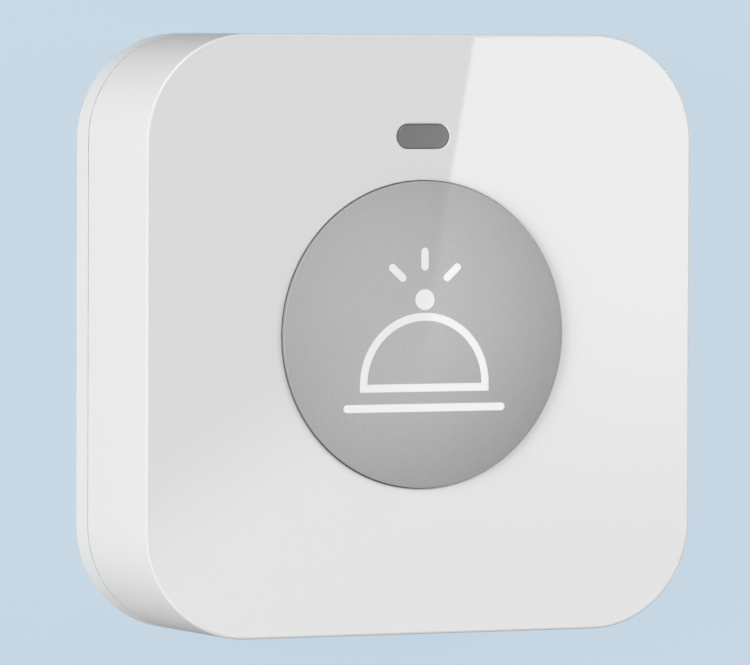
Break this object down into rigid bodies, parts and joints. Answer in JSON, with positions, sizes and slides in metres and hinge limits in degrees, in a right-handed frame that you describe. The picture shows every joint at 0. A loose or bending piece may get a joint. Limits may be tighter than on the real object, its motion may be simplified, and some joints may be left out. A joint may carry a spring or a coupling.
{
  "type": "table call button",
  "caption": "Square table-top call button with round corners, one large round push button, an indicator window, and a battery door underneath.",
  "frame": {"origin": "centre of the plane that the four feet rest on", "axes": "+Z out of the face with the button, +Y from the button towards the indicator window, +X to the right when the face is read with the window at the top"},
  "size_m": [0.06, 0.06, 0.0194],
  "materials": {
    "housing_white": "glossy white moulded plastic",
    "rear_white": "white moulded plastic, satin",
    "button_silver": "satin silver lacquer on moulded plastic",
    "window_smoke": "smoke-coloured clear plastic",
    "seal_grey": "silicone",
    "foot_grey": "matte rubber",
    "steel": "plated steel",
    "spring_steel": "drawn wire",
    "lamp_clear": "clear epoxy",
    "board_green": "solder mask",
    "part_black": "moulded black plastic",
    "contact_tin": "tin plate",
    "copper": "bare copper",
    "cell_steel": "plated steel"
  },
  "bodies": {
    "housing": {"front_cover": "housing_white", "rear_cover": "rear_white", "cover_screws": "steel", "rubber_feet": "foot_grey", "button_return_spring": "spring_steel", "light_window": "window_smoke", "indicator_led": "lamp_clear", "led_leads": "contact_tin", "circuit_board": "board_green", "board_screws": "steel", "switch_base": "part_black", "switch_cover": "steel", "switch_terminals": "contact_tin", "switch_dome": "spring_steel", "radio_chip": "part_black", "crystal_can": "steel", "chip_parts": "part_black", "antenna_loop": "copper", "coin_cell": "cell_steel", "cell_holder": "part_black", "positive_contact": "contact_tin", "negative_contact": "contact_tin"},
    "button": {"button_cap": "button_silver"},
    "plunger": {"switch_plunger": "part_black"},
    "door": {"battery_door": "rear_white", "door_seal": "seal_grey"}
  },
  "joints": [
    {"name": "button_press", "type": "slide", "parent": "housing", "child": "button", "axis": [0, 0, -1], "range_m": [0, 0.0005], "stiffness_N_per_m": 1500, "springref_m": -0.001, "deforming": ["button_return_spring"]},
    {"name": "plunger_press", "type": "slide", "parent": "housing", "child": "plunger", "axis": [0, 0, -1], "range_m": [0, 0.0003], "deforming": ["switch_dome"]},
    {"name": "battery_door_turn", "type": "hinge", "parent": "housing", "child": "door", "pos_m": [0, 0, 0.0006], "axis": [0, 0, 1], "range_deg": [0, 25]}
  ],
  "couplings": [
    {"joint": "plunger_press", "follows": "button_press", "ratio": 0.6}
  ]
}
